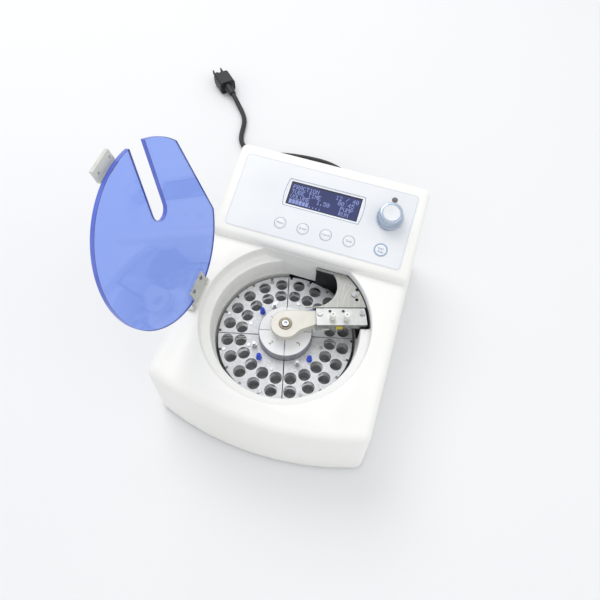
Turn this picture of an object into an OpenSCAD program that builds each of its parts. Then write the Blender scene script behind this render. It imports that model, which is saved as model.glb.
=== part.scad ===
// Bench-top cooled fraction collector: a forty-vial carousel under a tinted lid, a lifting
// needle arm on the carousel axis, and a tilted console with a display, keys and a knob.
// X runs to the right, Y to the rear and Z up. The table is z = 0.

/* [Housing] */
// Height of the deck's top face over the table
deck_z = 105; // [100:1:112]
// Width of the deck at its top edges
deck_w = 212.4; // [206:0.2:222]
// Width of the housing where it meets the table
base_w = 223.8; // [223:0.2:236]
// Distance from the carousel axis to the middle of the deck's front edge
front_y = 107.3; // [104:0.1:118]
// How much further forward the housing reaches at the table
front_flare = 5.5; // [3:0.5:9]
// Radius of the bowed front seen from above
bow_r = 311; // [280:1:400]
// Radius of the deck's rolled top edges
deck_edge_r = 10; // [7:0.5:12]
// Distance from the carousel axis to the rear wall
rear_y = 172; // [168:1:185]
// Wall thickness of the moulded housing
wall = 3.2; // [2.4:0.1:4]
// Height of the rubber feet
foot_h = 3; // [2:0.5:5]
// Radius of a rubber foot
foot_r = 9; // [7:0.5:11]

/* [Console] */
// How far the console's front wall stands behind the well's flat wall
console_step = 0.3; // [0.2:0.1:1]
// Tilt of the panel towards the operator, in degrees
panel_tilt = 16; // [12:0.5:20]
// Distance from the carousel axis to the display's centre
panel_y = 127.9; // [126:0.1:130]
// Height of the display's centre over the table
panel_z = 129.9; // [127:0.1:133]
// Radius of the console's edges
console_edge_r = 7; // [5:0.5:9]
// How far the console's sides stand in from the deck's
console_inset = 0.6; // [0.4:0.1:2]
// Width of the printed overlay
overlay_w = 185.6; // [182:0.2:188]
// Overlay's lower edge, below the display's centre
overlay_low = 50.7; // [49:0.1:51.5]
// Overlay's upper edge, above the display's centre
overlay_high = 31; // [29:0.5:32]
// Corner radius of the overlay
overlay_r = 4; // [2:0.5:6]
// Thickness of the overlay
overlay_t = 0.6; // [0.4:0.1:0.8]
// Width of the display window
display_w = 80; // [76:0.5:84]
// Height of the display window
display_h = 29; // [27:0.5:31]

/* [Keys and knob] */
// Diameter of the four small keys
key_d = 12; // [10:0.5:13]
// Distance between the middles of the four small keys
key_pitch = 24.3; // [22:0.1:26]
// Distance of the row of keys below the display's centre
key_row = 35; // [34:0.5:37]
// Diameter of the start key
start_d = 13.6; // [12:0.2:15]
// Distance of the knob, the lamp and the start key right of the display's centre
knob_x = 69.5; // [67:0.5:72]
// Height of the status lamp above the display's centre
lamp_row = 20.2; // [19:0.2:22]
// Diameter of the knob's skirt
knob_d = 27; // [24:0.5:29]
// Diameter of the knob's top
knob_top_d = 23; // [20:0.5:24]
// Height of the knob over the overlay
knob_h = 15; // [12:0.5:17]
// Travel of a key
key_travel = 0.6; // [0.4:0.1:0.8]

/* [Well] */
// Radius of the round recess that the lid lies in
recess_r = 83.3; // [82.8:0.1:85]
// Depth of the recess's ledge below the deck
ledge_drop = 14.6; // [13.5:0.1:15.5]
// Width of the ledge between the recess and the well
ledge_w = 9.25; // [8.8:0.05:9.8]
// How far the flat wall across the well stands inside the recess's radius
chord_in = 13.3; // [12.5:0.1:13.4]
// Gap between the well's wall and its liner
liner_gap = 0.45; // [0.3:0.05:0.6]
// Wall thickness of the liner and of the black pocket
liner_wall = 1.2; // [1:0.1:1.6]
// Angle at which the black pocket ends, from the right towards the rear
pocket_end = 14.2; // [12:0.1:14.6]
// Where the black pocket starts on the flat wall, right of the carousel axis
pocket_x = 11.5; // [10:0.5:14]

/* [Carousel] */
// Gap between the carousel and the well's liner
carousel_gap = 2.9; // [1.5:0.1:3.5]
// Height of the cassettes' top face over the table
cassette_z = 63; // [61:0.5:64]
// Thickness of a cassette's top plate
plate_t = 2.5; // [2:0.1:3]
// Thickness of the gap under the top plate
plate_gap = 8; // [6:0.5:10]
// Diameter of a vial hole in the top plate
hole_d = 12.7; // [12:0.1:12.9]
// Diameter of a vial hole in the lower block
seat_d = 12.3; // [11.8:0.1:12.5]
// Depth of a vial hole under the top face
hole_depth = 27; // [25:0.5:28]
// Distance of the outer holes' centres from the carousel's edge
edge_margin = 9.5; // [9.2:0.1:9.9]
// Distance between the two rows of holes
row_pitch = 13.5; // [13.3:0.1:14]
// Width of the gaps between the four cassettes
sector_gap = 1; // [0.8:0.1:1.5]
// Angle of the first gap, from the right towards the rear
gap_angle = 14.95; // [13:0.05:17]
// Angle from a gap to the first outer hole
outer_start = 7; // [6.8:0.1:7.4]
// Angle from a gap to the first inner hole
inner_start = 9; // [8.6:0.1:9.4]
// Distance of the inner holes' centres from the hub
hub_margin = 19; // [18.5:0.5:20]
// Height of the hub over the cassettes
hub_h = 12; // [10:0.5:13]
// Height of the cassettes' pegs
peg_h = 9.5; // [8:0.5:11]
// Radius of a peg's foot
peg_r = 2.5; // [2:0.1:3]

/* [Needle arm] */
// Direction of the arm, from the right towards the rear, in degrees
arm_angle = 18; // [17:0.5:19]
// Height of the arm's top face over the table
arm_z = 93; // [92:0.5:94]
// Thickness of the arm
arm_t = 8.5; // [7:0.5:9]
// Radius of the arm's round end
arm_end_r = 14.6; // [13.5:0.1:15.5]
// How far the needle block's near end lies inside the inner row of holes
block_lead = 16; // [15.5:0.5:17]
// Gap between the needle block's far end and the recess's wall
block_gap = 3; // [2.5:0.1:4.3]
// Width of the needle block
block_w = 18.2; // [17:0.1:19]
// How far the block's front face lies in front of the carousel axis
block_front = 2.8; // [2:0.1:3.5]
// Height of the needle block
block_h = 11.5; // [10:0.5:12.5]
// Height of the tube nipples over the block
nipple_h = 9.5; // [8:0.5:11]
// Radius of a tube nipple
nipple_r = 2.8; // [2.4:0.1:3.2]
// Radius of a needle
needle_r = 0.75; // [0.6:0.05:1]
// Height of the needle tips over the cassettes
needle_gap = 2; // [1.5:0.1:4]
// How far the lift drive raises the arm
arm_lift = 5; // [3:0.5:5]
// Gap between the bridge plate's round edge and the recess's wall
bridge_gap = 1.5; // [1.3:0.1:2.3]
// Thickness of the bridge plate
bridge_t = 1.5; // [1:0.1:2]

/* [Lid] */
// Gap between the lid's edge and the recess's wall
lid_gap = 4.6; // [3.8:0.1:5.3]
// Thickness of the lid
lid_t = 3.8; // [3:0.1:4.2]
// Gap between the lid's straight rear edge and the flat wall
lid_chord_gap = 3; // [1:0.1:4]
// Width of the slot that the tubes pass through
slot_w = 18.4; // [16:0.1:19]
// How far the slot's middle line lies behind the carousel axis
slot_v = 4.8; // [4:0.1:7]
// Distance from the carousel axis to the centre of the slot's round end
slot_u = 22.8; // [22:0.1:26]
// Distance of the hinge pin outside the recess's edge
hinge_out = 5; // [4.5:0.1:6]
// Height of the hinge pin over the deck
hinge_h = 2.5; // [2.4:0.1:4]
// Angle that the lid opens to
lid_open = 104.5; // [95:0.5:108]
// Radius of the hinge pin
pin_r = 1.2; // [1:0.1:1.4]
// How far the handle reaches past the lid's edge
handle_out = 8.3; // [7:0.1:10]
// How far the handle overlaps the lid
handle_lap = 2.4; // [2:0.1:4]

/* [Rear and inside] */
// Width of the rear panel
rear_panel_w = 170; // [165:1:176]
// Height of the rear panel
rear_panel_h = 76; // [74:1:80]
// Distance of the mains inlet from the carousel axis
inlet_x = 62; // [60:1:64]
// Height of the mains inlet over the table
inlet_z = 30; // [29:1:32]
// Width of the square cooling fan
fan_w = 60; // [54:1:62]
// Radius of the belt pulley on the carousel
wheel_r = 32; // [28:1:34]
// Radius of the belt pulley on the motor
pinion_r = 8; // [7:0.5:9]
// Distance from the carousel axis to the motor's axis
motor_y = 99; // [97:1:101]

/* [Hidden] */
$fn = 64;
hull_fn = 32;
eps = 0.01;

// Clearances
fit = 0.3;          // between pieces that move past each other
running = 0.05;     // round a shaft in its bearing
seat = 0.1;         // between pieces that are assembled and stay put

// Housing
rim_z = foot_h;
side_slope = (base_w - deck_w) / 2 / (deck_z - deck_edge_r - rim_z);
ledge_z = deck_z - ledge_drop;
well_r = recess_r - ledge_w;
chord_y = recess_r - chord_in;
chord_half = sqrt(recess_r * recess_r - chord_y * chord_y);
ledge_fillet = 4;
lip_r = 1.5;
collar_z = cassette_z + 3;
top_plane_drop = console_edge_r / cos(panel_tilt);
console_y = chord_y + console_step;
boss_r = 5;
boss_x = deck_w / 2 - 14.2;
boss_front = -58;
boss_rear = 148;
rib_z = 40;
rib_l = side_half(rib_z) - wall / 2 - boss_x;
screw_r = 1.5;
rear_panel_t = 1.5;
rear_panel_z = 12;
rear_lip = 6;

// Well and pocket
liner_r = well_r - liner_gap - liner_wall;
liner_z = 28;
liner_floor = 2;
pocket_floor = cassette_z - 5;
pocket_r = recess_r - seat;
rim_top = ledge_z + 5.6;
bridge_z = ledge_z + 4.6;
bridge_r = recess_r - bridge_gap;
bridge_rear = chord_y - 1.2;
bridge_bite = [14, chord_y - 22, 24.5];   // x, y and radius of the round cut in the plate
bridge_post = (recess_r - 7.85) * [cos(41.6), sin(41.6)];
shelf_depth = 3.7;
shelf_t = 2;

// Carousel
carousel_r = liner_r - carousel_gap;
outer_r = carousel_r - edge_margin;
inner_r = outer_r - row_pitch;
hub_r = inner_r - hub_margin;
platter_z = liner_z + liner_floor + 1;
platter_t = 3;
block_top = cassette_z - plate_t - plate_gap;
block_low = platter_z + platter_t;
hole_floor = cassette_z - hole_depth;
spindle_r = 8;
spindle_low = 6.2;
post_r = 4;
bore_r = post_r + 0.35;
pulley_z = 14;
pulley_t = 8;
belt_w = 6;
belt_t = 1.5;
sector_start = [for (k = [0:3]) gap_angle + 90 * k];
hole_pitch = 18;
notch = 2.6;
stud_r = 2.4;

// Arm
block_u = inner_r - block_lead;
block_reach = recess_r - block_gap;
arm_low = arm_z - arm_t;
block_z = arm_z + 2.5;
block_under = block_z - block_h;
block_rear = block_w - block_front;
needle_1 = [inner_r, gap_angle + inner_start];
needle_2 = [outer_r, gap_angle + outer_start];
needle_tip = cassette_z + needle_gap;
lift_rod_r = 2.2;
lift_rod_pos = [recess_r - 6.1, 25.3];
guide_r = 3;
block_screws_u = [block_u + 3.7, block_reach - 4.1];
tongue_l = 11;
tongue_t = 4;

// Lid
lid_top = deck_z - 0.4;
lid_low = lid_top - lid_t;
lid_r = recess_r - lid_gap;
lid_chord_y = chord_y - lid_chord_gap;
hinge_x = recess_r + hinge_out;
hinge_z = deck_z + hinge_h;
barrel_r = pin_r + 0.9;
post_front = -21;
post_rear = 17;
hinge_block_y = [-16, 10];
hinge_screw_y = [-11, 4.5];
hinge_screw_x = -lid_r + 11.2;
hinge_screw_r = 1;
flange_t = 1.6;
handle_y = [-14.2, 8];
handle_reach = lid_r + handle_out;

// Mains cord, in millimetres from the carousel axis
cord_r = 3.5;
cord_sides = 8;
coil_mid_r = 36;
coil_turns = 6;
coil_layers = 4;
coil_pitch = 7.6;
coil_step = 7.5;
coil_x = -12;
coil_y = 220;
coil_sides = 6;
coil_rings = 24;
coil_exit = 60;
relief_end = 40;
plug_l = 42;
plug_dir = 136;
// from the connector's strain relief down to the coil
lead_points = [[inlet_x, 212, inlet_z], [inlet_x, 219, inlet_z - 0.6],
    [61, 231, 26.5], [57.5, 243, 20], [50, 253, 13.5], [39, 259, 8.5], [25, 261.4, 5],
    [12, 261.7, 3.6]];
// from the coil over the table to the plug
tail_points = [[-4.5, 263.1, 26], [-14, 269, 25.2], [-27, 275, 22.5],
    [-41, 280.5, 18], [-55, 285, 13], [-70, 288.5, 8], [-86, 289.5, 4.6], [-102, 287, 3.6],
    [-117, 282.6, 3.5], [-131, 279.6, 3.5], [-145, 280.3, 3.5], [-157, 286.2, 3.5],
    [-165, 297, 3.5], [-169, 311, 3.5], [-171.5, 325, 3.5], [-175.5, 337.5, 3.5],
    [-182.5, 348.7, 3.8], [-191.5, 358.6, 5.6], [-200, 367.4, 8.6], [-206.5, 374.1, 10]];

// ------------------------------------------------------------------ helpers

// On the console's face, with the display's centre at 0 and +Y up the panel
module on_panel() { translate([0, panel_y, panel_z]) rotate([panel_tilt, 0, 0]) children(); }

// Along the arm: +X from the carousel axis to the needle block
module along_arm() { rotate([0, 0, arm_angle]) children(); }

// A piece of the lid, drawn shut and swung up about the hinge pin
module opened() {
    translate([-hinge_x, 0, hinge_z]) rotate([0, -lid_open, 0])
        translate([hinge_x, 0, -hinge_z]) children();
}

module at_polar(p) { rotate([0, 0, p[1]]) translate([p[0], 0, 0]) children(); }

// A cylinder from one height to another
module post(r, z0, z1) { translate([0, 0, z0]) cylinder(r = r, h = z1 - z0); }

module ring(r_out, r_in, z0, z1) {
    difference() {
        post(r_out, z0, z1);
        post(r_in, z0 - 1, z1 + 1);
    }
}

module slab(x0, x1, y0, y1, z0, z1) { translate([x0, y0, z0]) cube([x1 - x0, y1 - y0, z1 - z0]); }

// A flat rectangle with round corners
module round_rect(w, h, r) {
    for (x = [-1, 1], y = [-1, 1]) translate([x * (w / 2 - r), y * (h / 2 - r)]) circle(r = r);
    square([w - 2 * r, h], center = true);
    square([w, h - 2 * r], center = true);
}

// Points of an arc about c, from angle a0 to a1 in n steps
function arc(c, r, a0, a1, n) =
    [for (i = [0:n]) let (a = a0 + (a1 - a0) * i / n) [c[0] + r * cos(a), c[1] + r * sin(a)]];

// ------------------------------------------------------------------ housing

function bow(x) = bow_r - sqrt(bow_r * bow_r - x * x);
function side_half(z) = deck_w / 2 + (deck_z - deck_edge_r - z) * side_slope;

// The deck and the skirt below it: r is the edge radius, cut by t for the hollow inside
module deck_block(t) {
    r = deck_edge_r;
    hull() {
        for (i = [-4:4]) {
            x = i / 4 * (deck_w / 2 - r);
            translate([x, bow(x) + r - front_y, deck_z - r]) sphere(r = r - t, $fn = hull_fn);
            xb = i / 4 * (base_w / 2 - r);
            translate([xb, bow(xb) + r - front_y - front_flare, rim_z - (t > 0 ? 1 : 0)])
                cylinder(r = r - t, h = 1, $fn = hull_fn);
        }
        for (s = [-1, 1]) {
            translate([s * (deck_w / 2 - r), rear_y - r, deck_z - r])
                sphere(r = r - t, $fn = hull_fn);
            translate([s * (base_w / 2 - r), rear_y - r, rim_z - (t > 0 ? 1 : 0)])
                cylinder(r = r - t, h = 1, $fn = hull_fn);
        }
    }
}

// The console that rises behind the well
module console_block(t) {
    r = console_edge_r;
    y0 = console_y + r;
    y1 = rear_y - console_inset - r;
    z0 = panel_z + (y0 - panel_y) * tan(panel_tilt) - top_plane_drop;
    z1 = panel_z + (y1 - panel_y) * tan(panel_tilt) - top_plane_drop;
    hull() for (s = [-1, 1]) {
        translate([s * (side_half(z0) - console_inset - r), y0, z0])
            sphere(r = r - t, $fn = hull_fn);
        translate([s * (side_half(z1) - console_inset - r), y1, z1])
            sphere(r = r - t, $fn = hull_fn);
        for (y = [y0, y1])
            translate([s * (side_half(rim_z + 2) - console_inset - r), y, rim_z + 2])
                cylinder(r = r - t, h = 1, $fn = hull_fn);
    }
}

// The well's outline from below the liner to the deck, turned about the axis
module well_void() {
    intersection() {
        rotate_extrude($fn = 128) polygon(concat(
            [[0, liner_z], [well_r, liner_z], [well_r, ledge_z - lip_r]],
            arc([well_r + lip_r, ledge_z - lip_r], lip_r, 180, 90, 3),
            arc([recess_r - ledge_fillet, ledge_z + ledge_fillet], ledge_fillet, 270, 360, 5),
            arc([recess_r + lip_r, deck_z - lip_r], lip_r, 180, 90, 3),
            [[recess_r + lip_r, deck_z + 20], [0, deck_z + 20]]));
        slab(-200, 200, -200, chord_y, 0, 200);
    }
}

// The ring and the flat wall that hold the well's edge
module well_collar() {
    intersection() {
        union() {
            post(recess_r + wall, ledge_z - wall, deck_z - wall / 2);
            post(well_r + wall, collar_z, ledge_z);
        }
        slab(-200, 200, -200, chord_y + wall, 0, 200);
    }
    slab(-chord_half - 0.8, chord_half + 0.8, chord_y, chord_y + wall, collar_z, deck_z);
}

// The round stretch of the well's rim that is black
module pocket_sector(r) {
    intersection() {
        post(r, 0, 200);
        slab(-200, 200, -200, chord_y, 0, 200);
        linear_extrude(200) polygon([[0, 0], 200 * [cos(pocket_end), sin(pocket_end)],
            [200, 200], 200 * [cos(73), sin(73)]]);
    }
}

module panel_holes() {
    on_panel() {
        translate([0, 0, -20]) linear_extrude(40) round_rect(display_w, display_h, 1);
        for (p = concat(key_places(), [start_place()])) translate([p[0], p[1], 0]) {
            post(p[2] / 2 + fit, -1.6, 5);
            post(2.6, -20, 5);
        }
        translate([knob_x, 0, 0]) post(3.6, -20, 5);
        translate([knob_x, lamp_row, 0]) post(1.8, -20, 5);
    }
}

// x, y and diameter of the keys on the panel
function key_places() = [for (i = [0:3]) [(i - 1.5) * key_pitch, -key_row, key_d]];
function start_place() = [knob_x, -key_row, start_d];

module housing() color("ivory") {
    difference() {
        union() {
            difference() {
                union() {
                    deck_block(0);
                    console_block(0);
                }
                deck_block(wall);
                console_block(wall);
            }
            well_collar();
            for (s = [-1, 1]) {
                translate([s * boss_x, boss_front, 0]) post(boss_r, rim_z + 2, deck_z - wall / 2);
                translate([s * boss_x, boss_rear, 0]) post(boss_r, rim_z + 2, rib_z);
                for (y = [boss_front, boss_rear]) translate([s * boss_x, y, 0])
                    slab(s > 0 ? 0 : -rib_l, s > 0 ? rib_l : 0, -1, 1, rim_z + 5, rib_z);
            }
        }
        well_void();
        intersection() {
            pocket_sector(recess_r);
            slab(-200, 200, -200, 200, 40, ledge_z + ledge_fillet);
        }
        panel_holes();
        for (x = [-boss_x, boss_x], y = [boss_front, boss_rear])
            translate([x, y, 0]) post(screw_r, rim_z, rim_z + 14);
        // rear opening with a seat for the panel
        slab(-rear_panel_w / 2, rear_panel_w / 2, rear_y - rear_panel_t, rear_y + 1,
            rear_panel_z, rear_panel_z + rear_panel_h);
        slab(-rear_panel_w / 2 + rear_lip, rear_panel_w / 2 - rear_lip, rear_y - 10, rear_y + 1,
            rear_panel_z + rear_lip, rear_panel_z + rear_panel_h - rear_lip);
        for (y = [post_front + 2.25, post_rear - 3.25])
            translate([-hinge_x, y, 0]) post(screw_r, deck_z - 20, deck_z + 1);
    }
}

module base_outline() {
    r = deck_edge_r;
    hull() {
        for (i = [-4:4]) {
            x = i / 4 * (base_w / 2 - r);
            translate([x, bow(x) + r - front_y - front_flare]) circle(r = r - wall - fit);
        }
        for (x = [-1, 1] * (base_w / 2 - r))
            translate([x, rear_y - r]) circle(r = r - wall - fit);
    }
}

module base_plate() color("silver") {
    difference() {
        translate([0, 0, rim_z]) linear_extrude(2) base_outline();
        for (x = [-boss_x, boss_x], y = [boss_front, boss_rear])
            translate([x, y, 0]) post(screw_r + seat, 0, 10);
        // air slots under the fan
        for (i = [-4:4]) slab(-30 + i * 7 - 1.5, -30 + i * 7 + 1.5, 100, 140, 0, 10);
    }
}

module feet() color("dimgray")
    for (x = [-1, 1] * (base_w / 2 - 29.9), y = [35.3 - front_y, rear_y - 34])
        translate([x, y, 0]) rotate_extrude() polygon([[0, 0], [foot_r - 1, 0], [foot_r, 1], [foot_r, rim_z],
            [0, rim_z]]);

module pan_screw(r, l) {
    post(2 * r, 0, 0.9 * r);
    post(r, -l, 0.5);
}

module case_screws() color("silver") {
    for (x = [-boss_x, boss_x], y = [boss_front, boss_rear])
        translate([x, y, rim_z]) rotate([180, 0, 0]) pan_screw(screw_r - running, 13);
    translate([bridge_post[0], bridge_post[1], bridge_z + bridge_t])
        pan_screw(screw_r - running, 8);
    for (x = [-1, 1], z = [3, rear_panel_h - 3])
        translate([x * (rear_panel_w / 2 - 3), rear_y, rear_panel_z + z])
            rotate([-90, 0, 0]) post(2.4, 0, 1.2);
}

// ------------------------------------------------------------------ well

module well_liner() color([0.8, 0.8, 0.79]) {
    difference() {
        union() {
            ring(liner_r + liner_wall, liner_r, liner_z, collar_z);
            ring(well_r + 2.5, liner_r, collar_z - 1.5, collar_z);
            post(liner_r + eps, liner_z, liner_z + liner_floor);
        }
        slab(-200, 200, chord_y, 200, 0, 200);
        post(spindle_r + 3, 0, 60);
        intersection() {
            pocket_sector(200);
            slab(-200, 200, -200, 200, pocket_floor, 200);
        }
        slab(pocket_x - seat, 60, chord_y - shelf_depth - seat, 200, pocket_floor - seat, 200);
    }
}

module pocket_liner() color([0.06, 0.06, 0.07]) {
    r_in = pocket_r - liner_wall;
    guide = lift_rod_pos;
    difference() {
        union() {
            intersection() {
                difference() {
                    pocket_sector(pocket_r);
                    post(r_in, pocket_floor, 300);
                }
                slab(-200, 200, -200, 200, pocket_floor - liner_wall, rim_top);
            }
            intersection() {
                pocket_sector(pocket_r);
                slab(-200, 200, -200, 200, pocket_floor - liner_wall, pocket_floor);
            }
            // end wall of the pocket
            rotate([0, 0, pocket_end])
                slab(well_r + seat, pocket_r - seat, 0, liner_wall, pocket_floor, ledge_z);
            // plate on the flat wall, with the shelf that carries the bridge plate
            slab(pocket_x, chord_half - 5, chord_y - liner_wall, chord_y, pocket_floor, bridge_z);
            slab(pocket_x, chord_half - 5, chord_y - shelf_depth, chord_y - eps,
                bridge_z - shelf_t, bridge_z);
            translate([bridge_post[0], bridge_post[1], 0]) post(3.2, pocket_floor, bridge_z);
        }
        post(liner_r + liner_wall + seat, 0, pocket_floor + eps);
        at_polar(guide) post(guide_r + seat, 0, pocket_floor + 1);
        translate([bridge_post[0], bridge_post[1], 0]) post(screw_r, bridge_z - 10, bridge_z + 1);
    }
}

module bridge_plate() color([0.72, 0.72, 0.7]) {
    difference() {
        translate([0, 0, bridge_z]) linear_extrude(bridge_t) {
            difference() {
                intersection() {
                    circle(r = bridge_r, $fn = 128);
                    translate([pocket_x, -100]) square([200, 100 + bridge_rear]);
                    rotate(arm_angle) translate([0, block_rear + 0.5]) square([200, 200]);
                }
                translate([bridge_bite[0], bridge_bite[1]]) circle(r = bridge_bite[2]);
                translate([-100, -100]) square([100 + bridge_bite[0], 100 + chord_y]);
            }
            translate([pocket_x, bridge_rear - 2.4]) square([20, 2.4]);
        }
        translate([bridge_post[0], bridge_post[1], 0]) post(screw_r + seat, 0, 200);
        for (p = [[1.5, 6.5], [4, -4.7]]) translate([bridge_post[0] + p[0], bridge_post[1] + p[1], 0])
            post(1.6, 0, 200);
    }
}

module central_post() color("silver") {
    post(post_r, rim_z + 2, arm_z - 1);
    post(spindle_r - 0.6, rim_z + 2, rim_z + 3);
    difference() {
        post(post_r - 0.5, arm_z - 1 - eps, arm_z + 1.6);
        translate([0, 0, arm_z + 0.2]) cylinder(r = 1.7, h = 5, $fn = 6);
    }
}

module spindle_bearing() color("silver") {
    ring(spindle_r + 8, spindle_r + running, rim_z + 2, pulley_z - seat);
    difference() {
        translate([0, 0, rim_z + 2]) linear_extrude(2) round_rect(40, 40, 4);
        post(spindle_r + 8 - eps, 0, 20);
    }
}

module lift_drive() color("dimgray") {
    at_polar(lift_rod_pos) {
        difference() {
            union() {
                translate([0, 0, rim_z + 2]) linear_extrude(19) round_rect(24, 24, 3);
                post(guide_r, rim_z + 21, pocket_floor);
            }
            post(lift_rod_r + running, rim_z + 20, pocket_floor + 1);
        }
    }
}

// ------------------------------------------------------------------ panel

module panel_overlay() color([0.86, 0.89, 0.93])
    on_panel() difference() {
        translate([0, (overlay_high - overlay_low) / 2, 0])
            linear_extrude(overlay_t) round_rect(overlay_w, overlay_high + overlay_low, overlay_r);
        translate([0, 0, -1]) linear_extrude(5) round_rect(display_w, display_h, 1);
        for (p = concat(key_places(), [start_place()]))
            translate([p[0], p[1], 0]) post(p[2] / 2 + fit, -1, 5);
        translate([knob_x, 0, 0]) post(3.6, -1, 5);
        translate([knob_x, lamp_row, 0]) post(1.8, -1, 5);
    }

module display_window() color([0.1, 0.15, 0.6, 0.6])
    on_panel() translate([0, 0, -1.5])
        linear_extrude(1.5) round_rect(display_w - 2 * seat, display_h - 2 * seat, 0.9);

module display_module() color("darkgreen") {
    on_panel() {
        translate([0, 0, -9]) linear_extrude(7.4) round_rect(display_w - 2, display_h - 2, 1);
        translate([0, 0, -10.6]) linear_extrude(1.6) square([98, 44], center = true);
    }
}

module status_lamp() color("orange")
    on_panel() translate([knob_x, lamp_row, 0]) {
        post(1.7, -6, overlay_t);
        translate([0, 0, overlay_t]) scale([1, 1, 0.4]) sphere(r = 1.7, $fn = 24);
        post(2.6, -7, -wall - seat);
    }

module knob_encoder() color("dimgray")
    on_panel() translate([knob_x, 0, 0]) difference() {
        union() {
            translate([0, 0, -wall - 8]) linear_extrude(8 - seat) square(13, center = true);
            post(3.5, -wall - 1, 5);
        }
        post(3 + running, -wall - 6, 10);
    }

module control_knob() color("silver")
    on_panel() translate([knob_x, 0, 0]) {
        rotate_extrude() polygon(concat(
            [[0, 6], [5, 6], [5, overlay_t + fit], [knob_d / 2 - 0.6, overlay_t + fit],
                [knob_d / 2, overlay_t + fit + 0.6], [knob_d / 2, 4],
                [knob_top_d / 2 + 0.9, 5.2]],
            arc([knob_top_d / 2 - 1.5, knob_h - 1.5 + overlay_t], 1.5, 0, 90, 4),
            [[knob_top_d / 2 - 3, knob_h + overlay_t], [knob_top_d / 2 - 3.4, knob_h + 0.2],
                [0, knob_h + 0.2]]));
        post(3, -wall - 5, 6.5);
    }

module key_cap(p) {
    on_panel() translate([p[0], p[1], 0]) {
        rotate_extrude() polygon(concat([[0, -0.6], [p[2] / 2, -0.6], [p[2] / 2, 0.5]],
            arc([p[2] / 2 - 0.6, 0.5], 0.6, 0, 90, 3), [[0, 1.1]]));
        post(2, -wall - 2, -0.5);
    }
}

module key_1() color("white") key_cap(key_places()[0]);
module key_2() color("white") key_cap(key_places()[1]);
module key_3() color("white") key_cap(key_places()[2]);
module key_4() color("white") key_cap(key_places()[3]);
module start_key() color("white") key_cap(start_place());

// ------------------------------------------------------------------ rear and inside

fan_x = -40;
fan_z = 50;
switch_z = 62;

module rear_panel() color("dimgray")
    difference() {
        slab(-rear_panel_w / 2 + seat, rear_panel_w / 2 - seat, rear_y - rear_panel_t, rear_y,
            rear_panel_z + seat, rear_panel_z + rear_panel_h - seat);
        translate([inlet_x, 0, inlet_z]) slab(-13.2, 13.2, 0, 200, -9.7, 9.7);
        translate([inlet_x, 0, switch_z]) slab(-7.2, 7.2, 0, 200, -10.7, 10.7);
        // fan guard: rings of curved slots
        translate([fan_x, 0, fan_z]) rotate([-90, 0, 0])
            for (k = [1:4]) difference() {
                ring(6.2 * k + 2.2, 6.2 * k - 1.8, 0, 200);
                for (a = [45, 135]) rotate([0, 0, a]) slab(-40, 40, -1.2, 1.2, 0, 201);
            }
    }

module mains_inlet() color([0.1, 0.1, 0.1]) {
    translate([inlet_x, rear_y, inlet_z]) difference() {
        union() {
            slab(-15.5, 15.5, 0, 1.8, -12, 12);
            slab(-13, 13, -18, 0, -9.5, 9.5);
        }
        slab(-12, 12, -15, 5, -8.3, 8.3);
    }
    // frame of the rocker switch
    translate([inlet_x, rear_y, switch_z]) difference() {
        union() {
            slab(-9, 9, 0, 1.8, -12.5, 12.5);
            slab(-7, 7, -14, 0, -10.5, 10.5);
        }
        slab(-5.8, 5.8, -12, 5, -9.3, 9.3);
        translate([0, -2, 0]) rotate([0, 90, 0]) post(pivot_r + running, -6.4, 6.4);
    }
}

rocker_tilt = 10;
pivot_r = 1;
module power_rocker() color([0.1, 0.1, 0.1])
    translate([inlet_x, rear_y - 2, switch_z]) rotate([rocker_tilt, 0, 0])
        rotate([90, 0, 90]) {
            translate([0, 0, -5.5]) linear_extrude(11)
                polygon([[-4, -6], [1.6, -8.2], [3.6, -8], [2.2, 0], [3.6, 8], [1.6, 8.2],
                    [-4, 6]]);
            post(pivot_r, -6.2, 6.2);
        }

module fan_frame() color([0.12, 0.12, 0.12])
    translate([fan_x, rear_y - rear_panel_t, fan_z]) rotate([90, 0, 0]) {
        difference() {
            linear_extrude(15) difference() {
                round_rect(fan_w, fan_w, 4);
                circle(r = fan_w / 2 - 3);
                for (x = [-1, 1], y = [-1, 1])
                    translate([x, y] * (fan_w / 2 - 5)) circle(r = 2.2);
            }
        }
        post(10, 12, 15);
        for (a = [0, 90]) rotate([0, 0, a]) difference() {
            slab(-fan_w / 2 + 2.5, fan_w / 2 - 2.5, -1.5, 1.5, 13, 15);
            post(9.9, 0, 20);
        }
        post(1.5, 3, 12 + eps);
    }

module fan_rotor() color([0.12, 0.12, 0.12])
    translate([fan_x, rear_y - rear_panel_t, fan_z]) rotate([90, 0, 0]) {
        difference() {
            post(10, 2, 11.5);
            post(1.5 + running, 2.6, 20);
        }
        for (a = [0:51.43:359]) rotate([0, 0, a]) translate([9, 0, 6.7])
            rotate([35, 0, 0]) slab(0, fan_w / 2 - 13.5, -5, 5, -0.6, 0.6);
    }

module heat_sink() color("lightgray")
    translate([fan_x, rear_y - rear_panel_t - 15, fan_z]) rotate([90, 0, 0]) {
        for (i = [-6:6]) slab(i * 4.5 - 0.7, i * 4.5 + 0.7, -28, 28, 0, 20 + eps);
        slab(-28, 28, -28, 28, 20, 24);
        slab(-20, 20, -20, 20, 24, 28);
        slab(-26, 26, -26, 26, 28, 31);
    }

module drive_motor() color([0.2, 0.2, 0.22]) translate([0, motor_y, 0]) {
    translate([0, 0, 24]) linear_extrude(34) round_rect(42, 42, 5);
    for (x = [-19, 19], y = [-16, 16]) translate([x, y, 0]) post(2.5, rim_z + 2, 24);
    post(2.5, pulley_z - 4, 24);
}

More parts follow.
